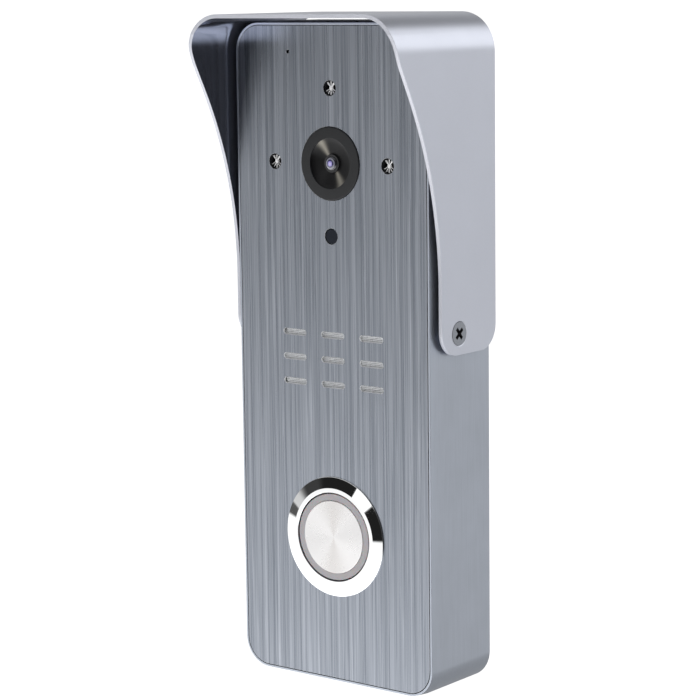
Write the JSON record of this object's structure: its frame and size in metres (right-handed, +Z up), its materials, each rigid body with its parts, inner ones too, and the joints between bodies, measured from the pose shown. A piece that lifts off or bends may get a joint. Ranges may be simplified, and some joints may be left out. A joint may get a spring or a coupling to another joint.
{
  "type": "video door station",
  "caption": "Wall-mounted video door station with a bent sheet rain hood, camera, lamps, sound slots and a ring-lit call button that presses in.",
  "frame": {"origin": "middle of the wall face of the bracket, halfway up the housing", "axes": "+Y points into the wall, so the front faces -Y; +Z is up; +X is the right-hand side seen from the front"},
  "size_m": [0.0528, 0.033, 0.1376],
  "materials": {
    "housing_alloy": "satin anodised",
    "plate_steel": "fine vertical brushing",
    "hood_sheet": "fine satin, light",
    "screw_steel": "plain",
    "nut_steel": "zinc plated",
    "black_foam": "closed-cell foam",
    "black_rubber": "soft rubber",
    "black_plastic": "fine texture",
    "bezel_plastic": "satin ring with a glossy dish",
    "lens_glass": "coated lens glass",
    "lamp_clear": "clear epoxy",
    "reflector_chrome": "bright",
    "smoked_plastic": "smoked",
    "cell_ceramic": "ceramic photocell",
    "mesh_steel": "woven mesh",
    "basket_steel": "pressed sheet",
    "cone_paper": "paper cone",
    "magnet_ferrite": "ferrite",
    "capsule_aluminium": "plain",
    "bezel_chrome": "polished",
    "nut_brass": "plain",
    "pin_brass": "plated",
    "cap_steel": "fine circular spinning",
    "plunger_clear": "frosted clear, lit from behind in use",
    "spring_steel": "music wire",
    "board_green": "solder mask",
    "chip_black": "moulded package",
    "capacitor_sleeve": "sleeved",
    "terminal_green": "moulded",
    "bracket_steel": "galvanised sheet"
  },
  "bodies": {
    "station": {"housing": "housing_alloy", "front_plate": "plate_steel", "plate_gasket": "black_foam", "rain_hood": "hood_sheet", "hood_screw_left": "screw_steel", "hood_screw_right": "screw_steel", "camera_bezel": "bezel_plastic", "camera_lens": "lens_glass", "lens_barrel": "black_plastic", "camera_module": "black_plastic", "camera_board": "board_green", "light_carrier": "black_plastic", "light_board": "board_green", "lamp_top": "lamp_clear", "lamp_left": "lamp_clear", "lamp_right": "lamp_clear", "reflector_top": "reflector_chrome", "reflector_left": "reflector_chrome", "reflector_right": "reflector_chrome", "sensor_window": "smoked_plastic", "sensor_cell": "cell_ceramic", "speaker_mesh": "mesh_steel", "speaker_gasket": "black_foam", "speaker_frame": "basket_steel", "speaker_cone": "cone_paper", "speaker_magnet": "magnet_ferrite", "mic_boot": "black_rubber", "mic_capsule": "capsule_aluminium", "button_bezel": "bezel_chrome", "button_seal": "black_rubber", "button_nut": "nut_brass", "button_spring": "spring_steel", "button_switch": "black_plastic", "button_terminals": "pin_brass", "main_board": "board_green", "processor": "chip_black", "capacitor": "capacitor_sleeve", "terminal_block": "terminal_green", "back_cover": "black_plastic", "cover_seal": "black_rubber", "cable_grommet": "black_rubber", "wall_bracket": "bracket_steel", "lock_screw": "screw_steel", "plate_nut_tl": "nut_steel", "plate_nut_tr": "nut_steel", "plate_nut_bl": "nut_steel", "plate_nut_br": "nut_steel", "cover_screw_tl": "screw_steel", "cover_screw_tr": "screw_steel", "cover_screw_bl": "screw_steel", "cover_screw_br": "screw_steel"},
    "button": {"button_cap": "cap_steel", "button_plunger": "plunger_clear"}
  },
  "joints": [
    {"name": "call_button_press", "type": "slide", "parent": "station", "child": "button", "axis": [0, 1, 0], "range_m": [0, 0.0015], "stiffness_N_per_m": 1200, "springref_m": -0.001, "deforming": ["button_spring"]}
  ]
}
